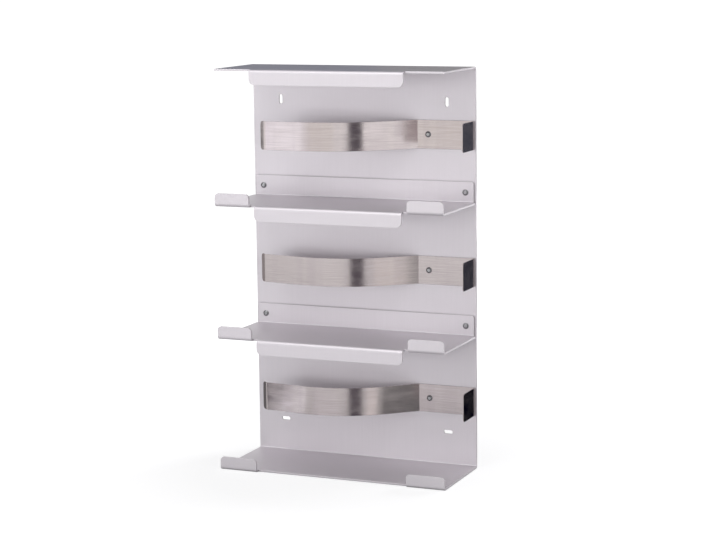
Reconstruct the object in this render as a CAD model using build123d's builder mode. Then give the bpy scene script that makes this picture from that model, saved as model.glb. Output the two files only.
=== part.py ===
"""Wall-mounted holder for three boxes of disposable gloves.

A folded aluminium body carries two riveted middle shelves, so that three boxes lie one above
another. Each box slides in from the left, stops against the flange of a sprung steel strap at the
right, and is pushed forward by the strap's tongue against the lips and tabs of the front.

Frame: millimetres, X to the right, Y towards the wall, Z up. The origin is the middle of the
bounding box's base, so the wall face is at +depth / 2 and the front of the lips at -depth / 2.
"""

import os

from build123d import *

# Overall size
width = 254.0
height = 425.0
depth = 100.0
levels = 3

# Folded sheet
sheet = 2.0
fold_radius = 1.5
edge_setback = 5.0

# Front lips and tabs
lip_drop = 16.0
tab_rise = 14.0
lip_corner_radius = 6.0
tab_corner_radius = 4.0
end_tab_width = 42.0
shelf_tab_width = 39.0
shelf_notch = 6.0

# Back flange of a middle shelf
flange_rise = 23.5
flange_inset = 2.0
flange_corner_radius = 2.0

# Wall slots
slot_width = 4.0
slot_length = 10.0
slot_spacing = 190.0
slot_end_margin = 37.0

# Sprung straps. For each: its level, its middle's height above that level's floor, how many degrees
# its tongue has sprung from the formed angle, and the length of the tongue's flat end
strap_gauge = 0.8
strap_width = 30.0
straps = {
    "bottom": (0, 72.5, 0.0, 45.0),
    "middle": (1, 69.5, -3.0, 46.0),
    "top": (2, 72.0, 4.0, 40.5),
}
strap_inset = 1.5
stop_depth = 36.0
stop_corner_radius = 3.0
strap_fold_radius = 0.6
foot_length = 62.5
tongue_angle = 43.0
tongue_rise_length = 40.0
crown_radius = 102.0
crown_back_angle = 6.0
tip_fold_radius = 5.0
tip_back_angle = 34.0
tip_length = 6.5
tip_corner_radius = 3.5

# Rivets. The crown is the flat that the setting tool leaves on the head
shank_radius = 1.6
hole_clearance = 0.1
head_radius = 3.2
head_edge = 0.3
head_height = 1.3
head_crown_radius = 1.6
tail_radius = 2.9
tail_depth = 1.3
strap_rivet_margin = 11.5
shelf_rivet_inset = 11.0
shelf_rivet_rise = 12.5

# Faces and levels that follow from the sizes above
front = -depth / 2
wall = depth / 2
panel_face = wall - sheet
free_edge = front + edge_setback
pitch = (height - sheet) / levels
hole_radius = shank_radius + hole_clearance
strap_edge = width / 2 - strap_inset
outer_fold = strap_fold_radius + strap_gauge
strap_rivet_x = strap_edge - foot_length + strap_rivet_margin
shelf_rivet_x = width / 2 - shelf_rivet_inset
shelf_floors = {"lower": pitch, "upper": 2 * pitch}
strap_heights = {name: level * pitch + rise for name, (level, rise, _, _) in straps.items()}


def folded_outline(*corners):
    """Edge-on outline of the sheet. The corners lie on its outer side, with the metal on their left."""
    with BuildSketch() as outline:
        with BuildLine():
            FilletPolyline(*corners, radius=fold_radius + sheet)
            offset(amount=sheet, side=Side.LEFT)
        make_face()
    return outline.sketch


def lip_outline(top):
    """Edge-on outline of a lip folded down from a sheet whose upper face is at this height."""
    return folded_outline((free_edge, top), (front, top), (front, top - lip_drop))


def tab_outline(floor):
    """Edge-on outline of a tab folded up from a sheet whose under face is at this height."""
    return folded_outline((front, floor + tab_rise), (front, floor), (free_edge, floor))


def corners_at(part, level):
    """The short edges through the sheet at this height, which are the corners of a lip, tab or flange."""
    across = part.edges().filter_by(Axis.Y)
    return across.filter_by(lambda edge: abs(edge.center().Z - level) < sheet / 10)


def save(part, name):
    part.label = name
    export_step(part, f"parts/{name}.step")


os.makedirs("parts", exist_ok=True)

# Body: base, back panel and roof are one sheet, with a lip at the roof and two tabs at the base
with BuildPart() as holder_body:
    with BuildSketch(Plane.YZ):
        add(folded_outline((free_edge, 0), (wall, 0), (wall, height), (free_edge, height)))
    extrude(amount=width / 2, both=True)
    with BuildSketch(Plane.YZ):
        add(lip_outline(height))
    extrude(amount=width / 2 - end_tab_width, both=True)
    with BuildSketch(Plane.YZ.offset(width / 2 - end_tab_width)):
        add(tab_outline(0))
    end_tab = extrude(amount=end_tab_width)
    mirror(end_tab, about=Plane.YZ)
    fillet(corners_at(holder_body, height - lip_drop), lip_corner_radius)
    fillet(corners_at(holder_body, tab_rise), tab_corner_radius)

    # Upright slots at the top and level slots at the bottom, so that the holder can be squared up
    with BuildSketch(Plane.XZ.offset(-wall)):
        with Locations((0, height - slot_end_margin)):
            with GridLocations(slot_spacing, 0, 2, 1):
                SlotOverall(slot_length, slot_width, rotation=90)
        with Locations((0, slot_end_margin)):
            with GridLocations(slot_spacing, 0, 2, 1):
                SlotOverall(slot_length, slot_width)
    extrude(amount=sheet, mode=Mode.SUBTRACT)

    # Rivet holes, countersunk at the wall face so that the tails are flush
    rivet_spots = [(strap_rivet_x, z) for z in strap_heights.values()]
    for floor in shelf_floors.values():
        rivet_spots += [(side * shelf_rivet_x, floor + shelf_rivet_rise) for side in (-1, 1)]
    with Locations(*[Plane((x, wall, z), x_dir=(1, 0, 0), z_dir=(0, 1, 0)) for x, z in rivet_spots]):
        CounterSinkHole(hole_radius, tail_radius + hole_clearance, depth=sheet, counter_sink_angle=90)
save(holder_body.part, "holder_body")

# Middle shelves: a flange up the back panel, end tabs turned up and a centre lip turned down
for name, floor in shelf_floors.items():
    with BuildPart() as shelf:
        with BuildSketch(Plane.YZ):
            add(folded_outline((free_edge, floor), (panel_face, floor), (panel_face, floor + flange_rise)))
        extrude(amount=width / 2, both=True)
        with BuildSketch(Plane.XY.offset(floor)):
            with Locations((0, panel_face)):
                with GridLocations(width - flange_inset, 0, 2, 1):
                    Rectangle(flange_inset, 2 * (fold_radius + sheet))
        extrude(amount=flange_rise, mode=Mode.SUBTRACT)
        fillet(corners_at(shelf, floor + flange_rise), flange_corner_radius)
        with BuildSketch(Plane.YZ):
            add(lip_outline(floor + sheet))
        extrude(amount=width / 2 - shelf_tab_width - shelf_notch, both=True)
        with BuildSketch(Plane.YZ.offset(width / 2 - shelf_tab_width)):
            add(tab_outline(floor))
        shelf_tab = extrude(amount=shelf_tab_width)
        mirror(shelf_tab, about=Plane.YZ)
        fillet(corners_at(shelf, floor + sheet - lip_drop), lip_corner_radius)
        fillet(corners_at(shelf, floor + tab_rise), tab_corner_radius)
        with Locations(Plane((0, panel_face - sheet, floor + shelf_rivet_rise), x_dir=(1, 0, 0), z_dir=(0, -1, 0))):
            with GridLocations(2 * shelf_rivet_x, 0, 2, 1):
                Hole(hole_radius, depth=sheet)
    save(shelf.part, f"{name}_shelf")

# Straps: side stop, riveted foot, and a tongue that rises, crowns over and ends in a turned-back tip
for name, (_, _, sprung, end_length) in straps.items():
    with BuildPart() as strap:
        with BuildSketch(Plane.XY.offset(strap_heights[name] - strap_width / 2)):
            with BuildLine():
                stop = Line((strap_edge, panel_face - stop_depth), (strap_edge, panel_face - outer_fold))
                stop_fold = JernArc(stop @ 1, stop % 1, outer_fold, 90)
                foot = Line(stop_fold @ 1, (strap_edge - foot_length, panel_face))
                root_fold = JernArc(foot @ 1, foot % 1, outer_fold, tongue_angle + sprung)
                rise = Line(root_fold @ 1, root_fold @ 1 + (root_fold % 1) * tongue_rise_length)
                crown = JernArc(rise @ 1, rise % 1, crown_radius, -tongue_angle - crown_back_angle)
                end = Line(crown @ 1, crown @ 1 + (crown % 1) * end_length)
                tip_fold = JernArc(end @ 1, end % 1, tip_fold_radius, -tip_back_angle)
                Line(tip_fold @ 1, tip_fold @ 1 + (tip_fold % 1) * tip_length)
                offset(amount=strap_gauge, side=Side.LEFT)
            make_face()
        extrude(amount=strap_width)
        tip_end = strap.faces().sort_by(Axis.X)[0]
        fillet(tip_end.edges().sort_by(SortBy.LENGTH)[:2], tip_corner_radius)
        stop_end = strap.faces().filter_by(Axis.Y).sort_by(Axis.X)[-1]
        fillet(stop_end.edges().sort_by(SortBy.LENGTH)[:2], stop_corner_radius)
        foot_face = Plane((strap_rivet_x, panel_face - strap_gauge, strap_heights[name]), z_dir=(0, -1, 0))
        with Locations(foot_face):
            Hole(hole_radius, depth=strap_gauge)
    save(strap.part, f"{name}_spring_strap")


def save_rivet(name, x, z, grip):
    """A rivet through this much metal, its tail formed flush with the wall face."""
    with BuildPart() as rivet:
        with BuildSketch(Plane((x, wall, z), x_dir=(1, 0, 0), z_dir=(0, 0, 1))):
            with BuildLine():
                Polyline(
                    (0, 0),
                    (tail_radius, 0),
                    (shank_radius, -tail_depth),
                    (shank_radius, -grip),
                    (head_radius, -grip),
                    (head_radius, -grip - head_edge),
                    (head_crown_radius, -grip - head_height),
                    (0, -grip - head_height),
                    close=True,
                )
            make_face()
        revolve(axis=Axis((x, wall, z), (0, 1, 0)))
    save(rivet.part, name)


for name, z in strap_heights.items():
    save_rivet(f"{name}_strap_rivet", strap_rivet_x, z, sheet + strap_gauge)
for name, floor in shelf_floors.items():
    for side, x in (("left", -shelf_rivet_x), ("right", shelf_rivet_x)):
        save_rivet(f"{name}_shelf_{side}_rivet", x, floor + shelf_rivet_rise, 2 * sheet)
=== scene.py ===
"""Looks for the glove dispenser: anodised sheet, bright spring strips, camera, floor and studio light."""

import math

import bmesh
import bpy
from mathutils import Matrix, Vector


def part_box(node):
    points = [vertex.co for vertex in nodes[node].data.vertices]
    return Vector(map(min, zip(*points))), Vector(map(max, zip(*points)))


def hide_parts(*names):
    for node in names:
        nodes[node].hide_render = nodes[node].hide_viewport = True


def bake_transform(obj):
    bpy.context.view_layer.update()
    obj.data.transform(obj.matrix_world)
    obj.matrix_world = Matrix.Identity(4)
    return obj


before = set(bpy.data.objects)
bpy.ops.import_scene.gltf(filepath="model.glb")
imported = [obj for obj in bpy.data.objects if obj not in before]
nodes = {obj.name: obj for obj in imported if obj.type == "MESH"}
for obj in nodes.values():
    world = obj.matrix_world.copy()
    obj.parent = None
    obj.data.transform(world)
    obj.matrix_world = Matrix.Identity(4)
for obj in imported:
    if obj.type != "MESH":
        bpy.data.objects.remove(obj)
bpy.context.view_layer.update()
scene = bpy.context.scene
panel_face = 0.048


# Materials ---------------------------------------------------------------------------------------

def new_material(name):
    """A material whose Principled shader, node tree and object coordinates are ready to wire."""
    material = bpy.data.materials.new(name)
    material.use_nodes = True
    tree = material.node_tree
    shader = tree.nodes["Principled BSDF"]
    place = tree.nodes.new("ShaderNodeTexCoord").outputs["Object"]
    return material, tree, shader, place


def noise(tree, place, scale, stretch=(1, 1, 1), detail=2.0):
    """Noise at this many features a metre, drawn out along an axis by a small stretch there."""
    mapping = tree.nodes.new("ShaderNodeMapping")
    mapping.inputs["Scale"].default_value = stretch
    tree.links.new(place, mapping.inputs["Vector"])
    texture = tree.nodes.new("ShaderNodeTexNoise")
    texture.inputs["Scale"].default_value = scale
    texture.inputs["Detail"].default_value = detail
    tree.links.new(mapping.outputs["Vector"], texture.inputs["Vector"])
    return texture.outputs["Fac"]


def remap(tree, value, low, high, start=0.3, end=0.7):
    """A number that runs from low to high as value runs from start to end."""
    node = tree.nodes.new("ShaderNodeMapRange")
    node.inputs["From Min"].default_value = start
    node.inputs["From Max"].default_value = end
    node.inputs["To Min"].default_value = low
    node.inputs["To Max"].default_value = high
    tree.links.new(value, node.inputs["Value"])
    return node.outputs["Result"]


def blend_colours(tree, fac, first, second):
    """A colour between two, each a colour or another node's output."""
    node = tree.nodes.new("ShaderNodeMix")
    node.data_type = "RGBA"
    tree.links.new(fac, node.inputs["Factor"])
    for socket, value in ((node.inputs["A"], first), (node.inputs["B"], second)):
        if isinstance(value, tuple):
            socket.default_value = (*value, 1)
        else:
            tree.links.new(value, socket)
    return node.outputs["Result"]


def product(tree, first, second):
    """first times second."""
    node = tree.nodes.new("ShaderNodeMath")
    node.operation = "MULTIPLY"
    tree.links.new(first, node.inputs[0])
    if isinstance(second, float):
        node.inputs[1].default_value = second
    else:
        tree.links.new(second, node.inputs[1])
    return node.outputs["Value"]


def bump(tree, height, distance, strength=1.0, under=None):
    """A surface normal raised by height, over another normal if one is given."""
    node = tree.nodes.new("ShaderNodeBump")
    node.inputs["Distance"].default_value = distance
    node.inputs["Strength"].default_value = strength
    tree.links.new(height, node.inputs["Height"])
    if under is not None:
        tree.links.new(under, node.inputs["Normal"])
    return node.outputs["Normal"]


def rounded(tree, radius):
    """A normal that turns over each sharp edge, and how near the surface is to one."""
    bevel = tree.nodes.new("ShaderNodeBevel")
    bevel.samples = 6
    bevel.inputs["Radius"].default_value = radius
    flat = tree.nodes.new("ShaderNodeNewGeometry").outputs["Normal"]
    dot = tree.nodes.new("ShaderNodeVectorMath")
    dot.operation = "DOT_PRODUCT"
    tree.links.new(bevel.outputs["Normal"], dot.inputs[0])
    tree.links.new(flat, dot.inputs[1])
    return bevel.outputs["Normal"], remap(tree, dot.outputs["Value"], 1.0, 0.0, 0.8, 0.999)


def crevice(tree, reach):
    """How open the surface is to its surroundings within this reach, from 0 to 1."""
    node = tree.nodes.new("ShaderNodeAmbientOcclusion")
    node.samples = 8
    node.inputs["Distance"].default_value = reach
    return node.outputs["AO"]


def within(tree, value, middle, half):
    """1 where value is no further than half from middle, else 0."""
    node = tree.nodes.new("ShaderNodeMath")
    node.operation = "COMPARE"
    tree.links.new(value, node.inputs[0])
    node.inputs[1].default_value = middle
    node.inputs[2].default_value = half
    return node.outputs["Value"]


def sheet_material():
    """Matt silver anodised aluminium: fine etched grain, faint rolling lines, painted highlights on cut
    edges, painted shade in creases and on slot walls.
    """
    material, tree, shader, place = new_material("anodised_sheet")
    shade = (0.2, 0.19, 0.2)
    edge_normal, edge = rounded(tree, 0.0005)
    mottle = noise(tree, place, 22, detail=4)
    rolling = noise(tree, place, 900, (1, 1, 0.02), detail=3)
    grain = noise(tree, place, 2600, detail=1)
    tone = blend_colours(tree, mottle, (0.66, 0.625, 0.66), (0.70, 0.665, 0.70))
    tone = blend_colours(tree, remap(tree, rolling, 0.0, 0.25), tone, (0.62, 0.59, 0.62))
    # Painted highlight: cut edges are made paler, less so where creases and slots close them in
    edge_highlight = product(tree, edge, remap(tree, crevice(tree, 0.006), 0.0, 0.8, 0.6, 0.95))
    tone = blend_colours(tree, edge_highlight, tone, (0.9, 0.88, 0.9))

    # Painted shade on the walls of the slots and rivet holes, the only faces inside the back panel's
    # thickness
    axes = tree.nodes.new("ShaderNodeSeparateXYZ")
    tree.links.new(place, axes.inputs["Vector"])
    across = within(tree, axes.outputs["X"], 0.0, 0.12)
    upright = within(tree, axes.outputs["Z"], 0.2125, 0.205)
    in_thickness = within(tree, axes.outputs["Y"], panel_face + 0.001, 0.00085)
    hole_wall_shade = product(tree, product(tree, across, upright), in_thickness)
    tone = blend_colours(tree, product(tree, hole_wall_shade, 0.9), tone, shade)
    # Painted shade in creases and inner corners, darker where little is open within 3 mm
    tone = blend_colours(tree, remap(tree, crevice(tree, 0.003), 0.6, 0.0, 0.3, 0.85), tone, shade)
    tree.links.new(tone, shader.inputs["Base Color"])
    tree.links.new(remap(tree, mottle, 0.44, 0.5), shader.inputs["Roughness"])
    normal = bump(tree, grain, 0.00002, 0.35, edge_normal)
    tree.links.new(bump(tree, rolling, 0.00002, 0.15, normal), shader.inputs["Normal"])
    shader.inputs["Metallic"].default_value = 0.6
    return material


def strip_material():
    """Bright rolled stainless spring strip, with its grain along the strip, light rub marks and painted
    highlights on its edges.
    """
    material, tree, shader, place = new_material("spring_strip")
    edge_normal, edge = rounded(tree, 0.0002)
    grain = noise(tree, place, 30, (1, 1, 90), detail=3)
    fine = noise(tree, place, 120, (1, 1, 60), detail=2)
    smear = noise(tree, place, 45, (1, 1, 3), detail=3)
    band = noise(tree, place, 70, (1, 0.2, 0.03), detail=2)
    streaks = remap(tree, grain, 0.0, 1.0, 0.28, 0.72)
    tone = blend_colours(tree, streaks, (0.53, 0.472, 0.47), (0.67, 0.606, 0.602))
    tone = blend_colours(tree, remap(tree, band, 0.0, 0.3, 0.45, 0.65), tone, (0.5, 0.44, 0.455))
    # Painted highlight: the strip's edges are made paler
    tone = blend_colours(tree, product(tree, edge, 0.6), tone, (0.85, 0.84, 0.82))
    tree.links.new(tone, shader.inputs["Base Color"])
    tree.links.new(remap(tree, smear, 0.15, 0.24), shader.inputs["Roughness"])
    normal = bump(tree, grain, 0.00003, 0.25, edge_normal)
    tree.links.new(bump(tree, fine, 0.00001, 0.25, normal), shader.inputs["Normal"])
    shader.inputs["Metallic"].default_value = 1.0
    return material


def rivet_material():
    """Plain aluminium rivet with a painted highlight on its flat crown, which is also smoother, and dull
    on its flanks.
    """
    material, tree, shader, place = new_material("rivet")
    edge_normal, _ = rounded(tree, 0.0003)
    speckle = noise(tree, place, 1800, detail=2)
    facing = tree.nodes.new("ShaderNodeVectorMath")
    facing.operation = "DOT_PRODUCT"
    facing.inputs[1].default_value = (0, -1, 0)
    tree.links.new(edge_normal, facing.inputs[0])
    crown = remap(tree, facing.outputs["Value"], 0.0, 1.0, 0.88, 0.99)
    tone = blend_colours(tree, speckle, (0.2, 0.2, 0.21), (0.32, 0.32, 0.33))
    # Painted highlight: the crown that faces the front is made paler
    tone = blend_colours(tree, crown, tone, (0.42, 0.42, 0.43))
    tree.links.new(tone, shader.inputs["Base Color"])
    tree.links.new(remap(tree, crown, 0.36, 0.24, 0, 1), shader.inputs["Roughness"])
    tree.links.new(bump(tree, speckle, 0.00003, 0.3, edge_normal), shader.inputs["Normal"])
    shader.inputs["Metallic"].default_value = 1.0
    return material


sheet_metal = sheet_material()
strip_metal = strip_material()
rivet_metal = rivet_material()
for name, node in nodes.items():
    material = rivet_metal if name.endswith("rivet") else sheet_metal
    for slot in node.material_slots:
        slot.material = material


# Spring strips -----------------------------------------------------------------------------------

strip_edge = 0.1255
gauge = 0.0008
half_width = 0.015
fold = 0.0014
stop_depth = 0.036
foot_length = 0.0625
tongue_angle = 43.0
tongue_rise = 0.040
crown_radius = 0.102
back_angle = 6.0
tip_fold = 0.005
tip_angle = 34.0
tip_length = 0.0065
tip_corner = 0.0035
stop_corner = 0.003
edge_break = 0.00012


# How many degrees each strip has sprung from its formed angle, and the length of its flat end
strips = {"bottom": (0.0, 0.045), "middle": (-3.0, 0.046), "top": (4.0, 0.0405)}


def strip_path(sprung, end_length):
    """Points and headings along the strip's back side, from the front of its stop to its tip."""
    point, heading, travelled = Vector((strip_edge, panel_face - stop_depth)), 90.0, 0.0
    path = [(point.copy(), heading, travelled)]
    runs = (
        (stop_depth - fold, 0, 0.0015),
        (fold, 90, 0),
        (foot_length - fold, 0, 0.004),
        (fold, tongue_angle + sprung, 0),
        (tongue_rise, 0, 0.002),
        (crown_radius, -tongue_angle - back_angle, 0),
        (end_length, 0, 0.003),
        (tip_fold, -tip_angle, 0),
        (tip_length, 0, 0.0004),
    )
    for size, turn, step in runs:
        count = max(2, round(size / step)) if step else max(6, round(abs(turn) / 2))
        for _ in range(count):
            bit = math.radians(turn / count)
            stride = size / count if step else 2 * size * math.sin(abs(bit) / 2)
            along = math.radians(heading) + bit / 2
            point = point + stride * Vector((math.cos(along), math.sin(along)))
            heading += turn / count
            travelled += size / count if step else size * abs(bit)
            path.append((point.copy(), heading, travelled))
    return path


def half_width_at(gap, corner):
    """Half the strip's width this far from an end whose corners are rounded."""
    if gap >= corner:
        return half_width
    return half_width - corner + math.sqrt(corner**2 - (corner - gap) ** 2)


def strip_piece(name, height, sprung, end_length):
    """The whole strip as a fine mesh, with its tongue sprung from its formed angle by sprung degrees."""
    path = strip_path(sprung, end_length)
    total = path[-1][2]
    mesh = bmesh.new()
    rings = []
    for point, heading, travelled in path:
        out = math.radians(heading + 90)
        normal = Vector((math.cos(out), math.sin(out)))
        half = min(half_width_at(travelled, stop_corner), half_width_at(total - travelled, tip_corner))
        corners = [(side * (half - edge_break), rise) for side in (-1, 1) for rise in (0, gauge)]
        corners += [(side * half, rise) for side in (-1, 1) for rise in (edge_break, gauge - edge_break)]
        order = (0, 4, 5, 1, 3, 7, 6, 2)
        ring = []
        for across, rise in (corners[i] for i in order):
            spot = point + rise * normal
            ring.append(mesh.verts.new((spot.x, spot.y, height + across)))
        rings.append(ring)
    for first, second in zip(rings, rings[1:]):
        for i in range(8):
            j = (i + 1) % 8
            mesh.faces.new((first[i], first[j], second[j], second[i]))
    mesh.faces.new(rings[0][::-1])
    mesh.faces.new(rings[-1])
    bmesh.ops.recalc_face_normals(mesh, faces=mesh.faces)
    data = bpy.data.meshes.new(name)
    mesh.to_mesh(data)
    mesh.free()
    data.polygons.foreach_set("use_smooth", [True] * len(data.polygons))
    data.set_sharp_from_angle(angle=math.radians(30))
    data.materials.append(strip_metal)
    piece = bpy.data.objects.new(name, data)
    scene.collection.objects.link(piece)
    return piece


for name, (sprung, end_length) in strips.items():
    low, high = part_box(f"{name}_spring_strap")
    height = (low.z + high.z) / 2
    piece = strip_piece(f"{name}_spring_strip", height, sprung, end_length)
    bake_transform(piece)
    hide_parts(f"{name}_spring_strap")


# Floor, backdrop and light -------------------------------------------------------------------------

def seen_directly(tree):
    """1 for camera, glossy and transmission rays, so that metal shows the same background."""
    rays = tree.nodes.new("ShaderNodeLightPath").outputs
    total = rays["Is Camera Ray"]
    for name in ("Is Glossy Ray", "Is Transmission Ray"):
        node = tree.nodes.new("ShaderNodeMath")
        node.operation = "MAXIMUM"
        tree.links.new(total, node.inputs[0])
        tree.links.new(rays[name], node.inputs[1])
        total = node.outputs["Value"]
    return total


def card(name, corners, material, only_glossy=True):
    """A flat stage panel through these corners. A studio flag is seen by gloss alone."""
    data = bpy.data.meshes.new(name)
    data.from_pydata(corners, [], [range(len(corners))])
    data.materials.append(material)
    panel = bpy.data.objects.new(name, data)
    scene.collection.objects.link(panel)
    if only_glossy:
        panel.visible_camera = False
        panel.visible_diffuse = False
        panel.visible_shadow = False
        panel.visible_transmission = False


def upright_card(name, ends, heights, material):
    """A flag that stands between two spots of the floor plan, from one height to another."""
    (first, second), (low, high) = ends, heights
    corners = [(*first, low), (*second, low), (*second, high), (*first, high)]
    card(name, corners, material)


def ground_card(name, spots, material):
    """A flag that lies just above the floor."""
    card(name, [(*spot, ground_lift) for spot in spots], material)


def bearing(azimuth):
    """The level direction at an azimuth, counted from the front towards the right."""
    return Vector((math.sin(math.radians(azimuth)), -math.cos(math.radians(azimuth))))


def ring_card(name, azimuths, heights, radius, material):
    """An upright flag that spans two azimuths."""
    upright_card(name, [bearing(azimuth) * radius for azimuth in azimuths], heights, material)


def sector_card(name, azimuths, radii, material):
    """A flag on the floor, between two azimuths and two distances."""
    first, second = (bearing(azimuth) for azimuth in azimuths)
    near, far = radii
    ground_card(name, (first * near, second * near, second * far, first * far), material)


def floor_material():
    """Pale floor that carries the object's shadow and looks white to the camera.

    The metal shows the same floor, with painted shade that makes it greyer close to the object.
    """
    material = bpy.data.materials.new("pale_floor")
    material.use_nodes = True
    tree = material.node_tree
    tree.nodes.clear()
    diffuse = tree.nodes.new("ShaderNodeBsdfDiffuse")
    diffuse.inputs["Color"].default_value = (0.37, 0.37, 0.38, 1)
    length = tree.nodes.new("ShaderNodeVectorMath")
    length.operation = "LENGTH"
    tree.links.new(tree.nodes.new("ShaderNodeTexCoord").outputs["Object"], length.inputs[0])
    distance = length.outputs["Value"]

    # What metal sees fades towards the object, as painted shade; what the camera sees leaves room for the
    # shadow there
    far = remap(tree, distance, 0.5, 0.95, 1.5, 3.8)
    near = remap(tree, distance, 0.3, 1.0, 0.1, 0.33)
    to_camera = remap(tree, distance, 0.745, 0.98, 0.15, 0.5)
    level = tree.nodes.new("ShaderNodeMix")
    tree.links.new(tree.nodes.new("ShaderNodeLightPath").outputs["Is Camera Ray"], level.inputs["Factor"])
    tree.links.new(product(tree, far, near), level.inputs["A"])
    tree.links.new(to_camera, level.inputs["B"])
    glow = tree.nodes.new("ShaderNodeEmission")
    tree.links.new(product(tree, seen_directly(tree), level.outputs["Result"]), glow.inputs["Strength"])
    both = tree.nodes.new("ShaderNodeAddShader")
    tree.links.new(diffuse.outputs["BSDF"], both.inputs[0])
    tree.links.new(glow.outputs["Emission"], both.inputs[1])
    output = tree.nodes.new("ShaderNodeOutputMaterial")
    tree.links.new(both.outputs["Shader"], output.inputs["Surface"])
    return material


def flag_material(name, colour):
    """A plain studio flag of this brightness and tint."""
    material = bpy.data.materials.new(name)
    material.use_nodes = True
    tree = material.node_tree
    tree.nodes.clear()
    glow = tree.nodes.new("ShaderNodeEmission")
    glow.inputs["Color"].default_value = (*colour, 1)
    output = tree.nodes.new("ShaderNodeOutputMaterial")
    tree.links.new(glow.outputs["Emission"], output.inputs["Surface"])
    return material


floor_half = 30.0
floor_corners = [(x * floor_half, y * floor_half, 0) for x, y in ((-1, -1), (1, -1), (1, 1), (-1, 1))]
card("floor", floor_corners, floor_material(), only_glossy=False)

flag_dark = flag_material("dark_flag", (0.095, 0.08, 0.1))
flag_grey = flag_material("grey_flag", (0.17, 0.17, 0.175))
flag_pale = flag_material("pale_flag", (0.46, 0.46, 0.46))
flag_white = flag_material("white_flag", (1.47, 1.48, 1.57))
flag_tip = flag_material("tip_flag", (0.36, 0.34, 0.34))
flag_front = flag_material("front_flag", (0.95, 0.93, 0.9))
flag_step = flag_material("step_flag", (1.1, 1.1, 1.11))
flag_flat = flag_material("flat_flag", (1.33, 1.34, 1.42))
flag_soft = flag_material("soft_flag", (0.97, 0.94, 0.92))
flag_near = flag_material("near_flag", (0.78, 0.77, 0.8))
flag_mid = flag_material("middle_flag", (0.94, 0.9, 0.86))
flag_blue = flag_material("blue_flag", (0.035, 0.06, 0.125))

# Behind the roof, which mirrors them
back = 0.12
back_heights = (0.432, 1.2)
upright_card("flag_back_left", ((-0.5, back), (-0.01, back)), back_heights, flag_blue)
upright_card("flag_back_right", ((-0.01, back), (0.4, back)), back_heights, flag_grey)

# Around the front, for the strips' dark stripes and their soft steps from left to right
ground_lift = 0.002
ring_radius = 0.6
sector_radii = (0.15, 0.6)
ring_card("flag_upper", (30, 48), (0.2, 0.6), ring_radius, flag_dark)
ring_card("flag_middle", (19, 36.6), (0.0, 0.2), ring_radius, flag_dark)
ring_card("flag_right_mid", (50, 78), (0.09, 0.14), ring_radius, flag_mid)
sector_card("flag_lower", (20.5, 38.5), sector_radii, flag_dark)
sector_card("flag_right_soft", (46, 59), sector_radii, flag_soft)
sector_card("flag_right_pale", (60, 67), sector_radii, flag_pale)
sector_card("flag_right", (67, 100), sector_radii, flag_grey)

# On the floor at the front left, for the bottom strip's flat end and foot
dark_edge = ((-0.221, -0.18), (-0.304, -0.34))
ground_card("flag_left", (*dark_edge, (-0.6, -0.34), (-0.5, -0.18)), flag_dark)
ground_card("flag_band", ((-0.19, -0.19), (-0.27, -0.35), *dark_edge[::-1]), flag_white)
ground_card("flag_near", ((-0.12, -0.17), (0.06, -0.17), (0.0, -0.36), (-0.18, -0.36)), flag_near)

# Straight in front, at the height that the top strip mirrors
ahead = -0.52
ahead_heights = (0.26, 0.35)
upright_card("flag_front_step", ((-0.29, ahead), (-0.22, ahead)), ahead_heights, flag_step)
upright_card("flag_front", ((-0.22, ahead), (0.1, ahead)), ahead_heights, flag_front)
upright_card("flag_flat", ((-0.5, ahead), (-0.29, ahead)), ahead_heights, flag_flat)

# Beside the object, for the middle strip's root, the stops' outer faces and the tips
upright_card("flag_root", ((0.1505, -0.0195), (0.178, 0.022)), (0.15, 0.25), flag_pale)
for name, heights, colour in (
    ("bottom", (0.01, 0.105), (0.0, 0.0, 0.004)),
    ("middle", (0.15, 0.245), (0.04, 0.042, 0.056)),
    ("top", (0.29, 0.39), (0.07, 0.074, 0.095)),
):
    flag_stop = flag_material(f"{name}_stop_flag", colour)
    upright_card(f"flag_stop_{name}", ((0.128, 0.058), (0.25, 0.18)), heights, flag_stop)
for name, heights, flag in (
    ("bottom", (0.0, 0.16), flag_grey),
    ("middle", (0.16, 0.26), flag_tip),
    ("top", (0.26, 0.45), flag_grey),
):
    upright_card(f"flag_tip_{name}", ((-0.19, 0), (-0.19, 0.09)), heights, flag)


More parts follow.
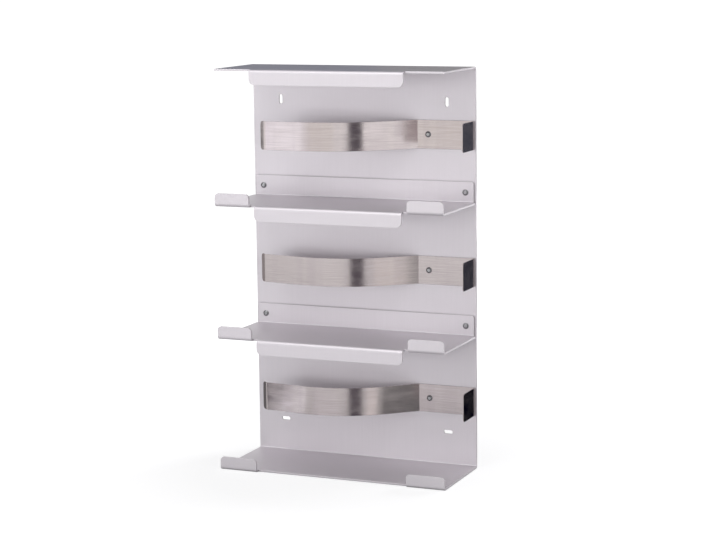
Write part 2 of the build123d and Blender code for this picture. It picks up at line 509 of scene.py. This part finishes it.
def softbox(name, place, width, height, power, aim=(0, 0, 0.2), in_gloss=False):
    """An area lamp that faces its aim, the object's middle unless told, and is seen in gloss or not."""
    data = bpy.data.lights.new(name, "AREA")
    data.shape = "RECTANGLE"
    data.size = width
    data.size_y = height
    data.energy = power
    lamp = bpy.data.objects.new(name, data)
    lamp.location = place
    lamp.rotation_euler = (Vector(aim) - lamp.location).to_track_quat("-Z", "Y").to_euler()
    lamp.visible_camera = False
    lamp.visible_glossy = in_gloss
    scene.collection.objects.link(lamp)


softbox("key", (-2.1, -2.5, 0.4), 2.6, 0.6, 32)
softbox("front", (-0.3, -3.2, 0.35), 1.8, 0.5, 26)
softbox("fill", (2.9, -1.9, 0.4), 2.4, 0.6, 38)
softbox("top", (-0.4, -1.5, 1.8), 0.8, 0.8, 10, in_gloss=True)
softbox("rim", (1.2, 1.7, 0.5), 1.0, 1.0, 36)
softbox("bounce", (-0.2, -2.4, 0.03), 2.4, 0.8, 45, aim=(-0.2, -2.3, 1.0))

world = bpy.data.worlds.new("studio")
world.use_nodes = True
scene.world = world
background = world.node_tree.nodes["Background"]
background.inputs["Color"].default_value = (1, 1, 1, 1)
sky_light, sky_seen = 0.3, 1.0
strength = remap(world.node_tree, seen_directly(world.node_tree), sky_light, sky_seen, 0, 1)
world.node_tree.links.new(strength, background.inputs["Strength"])


# Camera ---------------------------------------------------------------------------------------------

# Fitted to the photograph: the focal length is in pixels of its width
camera_place = (0.8196, -1.9039, 0.5414)
yaw, pitch, roll = (math.radians(angle) for angle in (22.954, 8.981, 0.657))
focal_pixels = 2003.9
picture_width = 716
sensor = 36.0

camera = bpy.data.objects.new("camera", bpy.data.cameras.new("camera"))
camera.data.sensor_width = sensor
camera.data.lens = focal_pixels / picture_width * sensor
camera.matrix_world = (
    Matrix.Translation(camera_place)
    @ Matrix.Rotation(yaw, 4, "Z")
    @ Matrix.Rotation(math.pi / 2 - pitch, 4, "X")
    @ Matrix.Rotation(-roll, 4, "Z")
)
scene.collection.objects.link(camera)
scene.camera = camera
scene.view_settings.view_transform = "Standard"
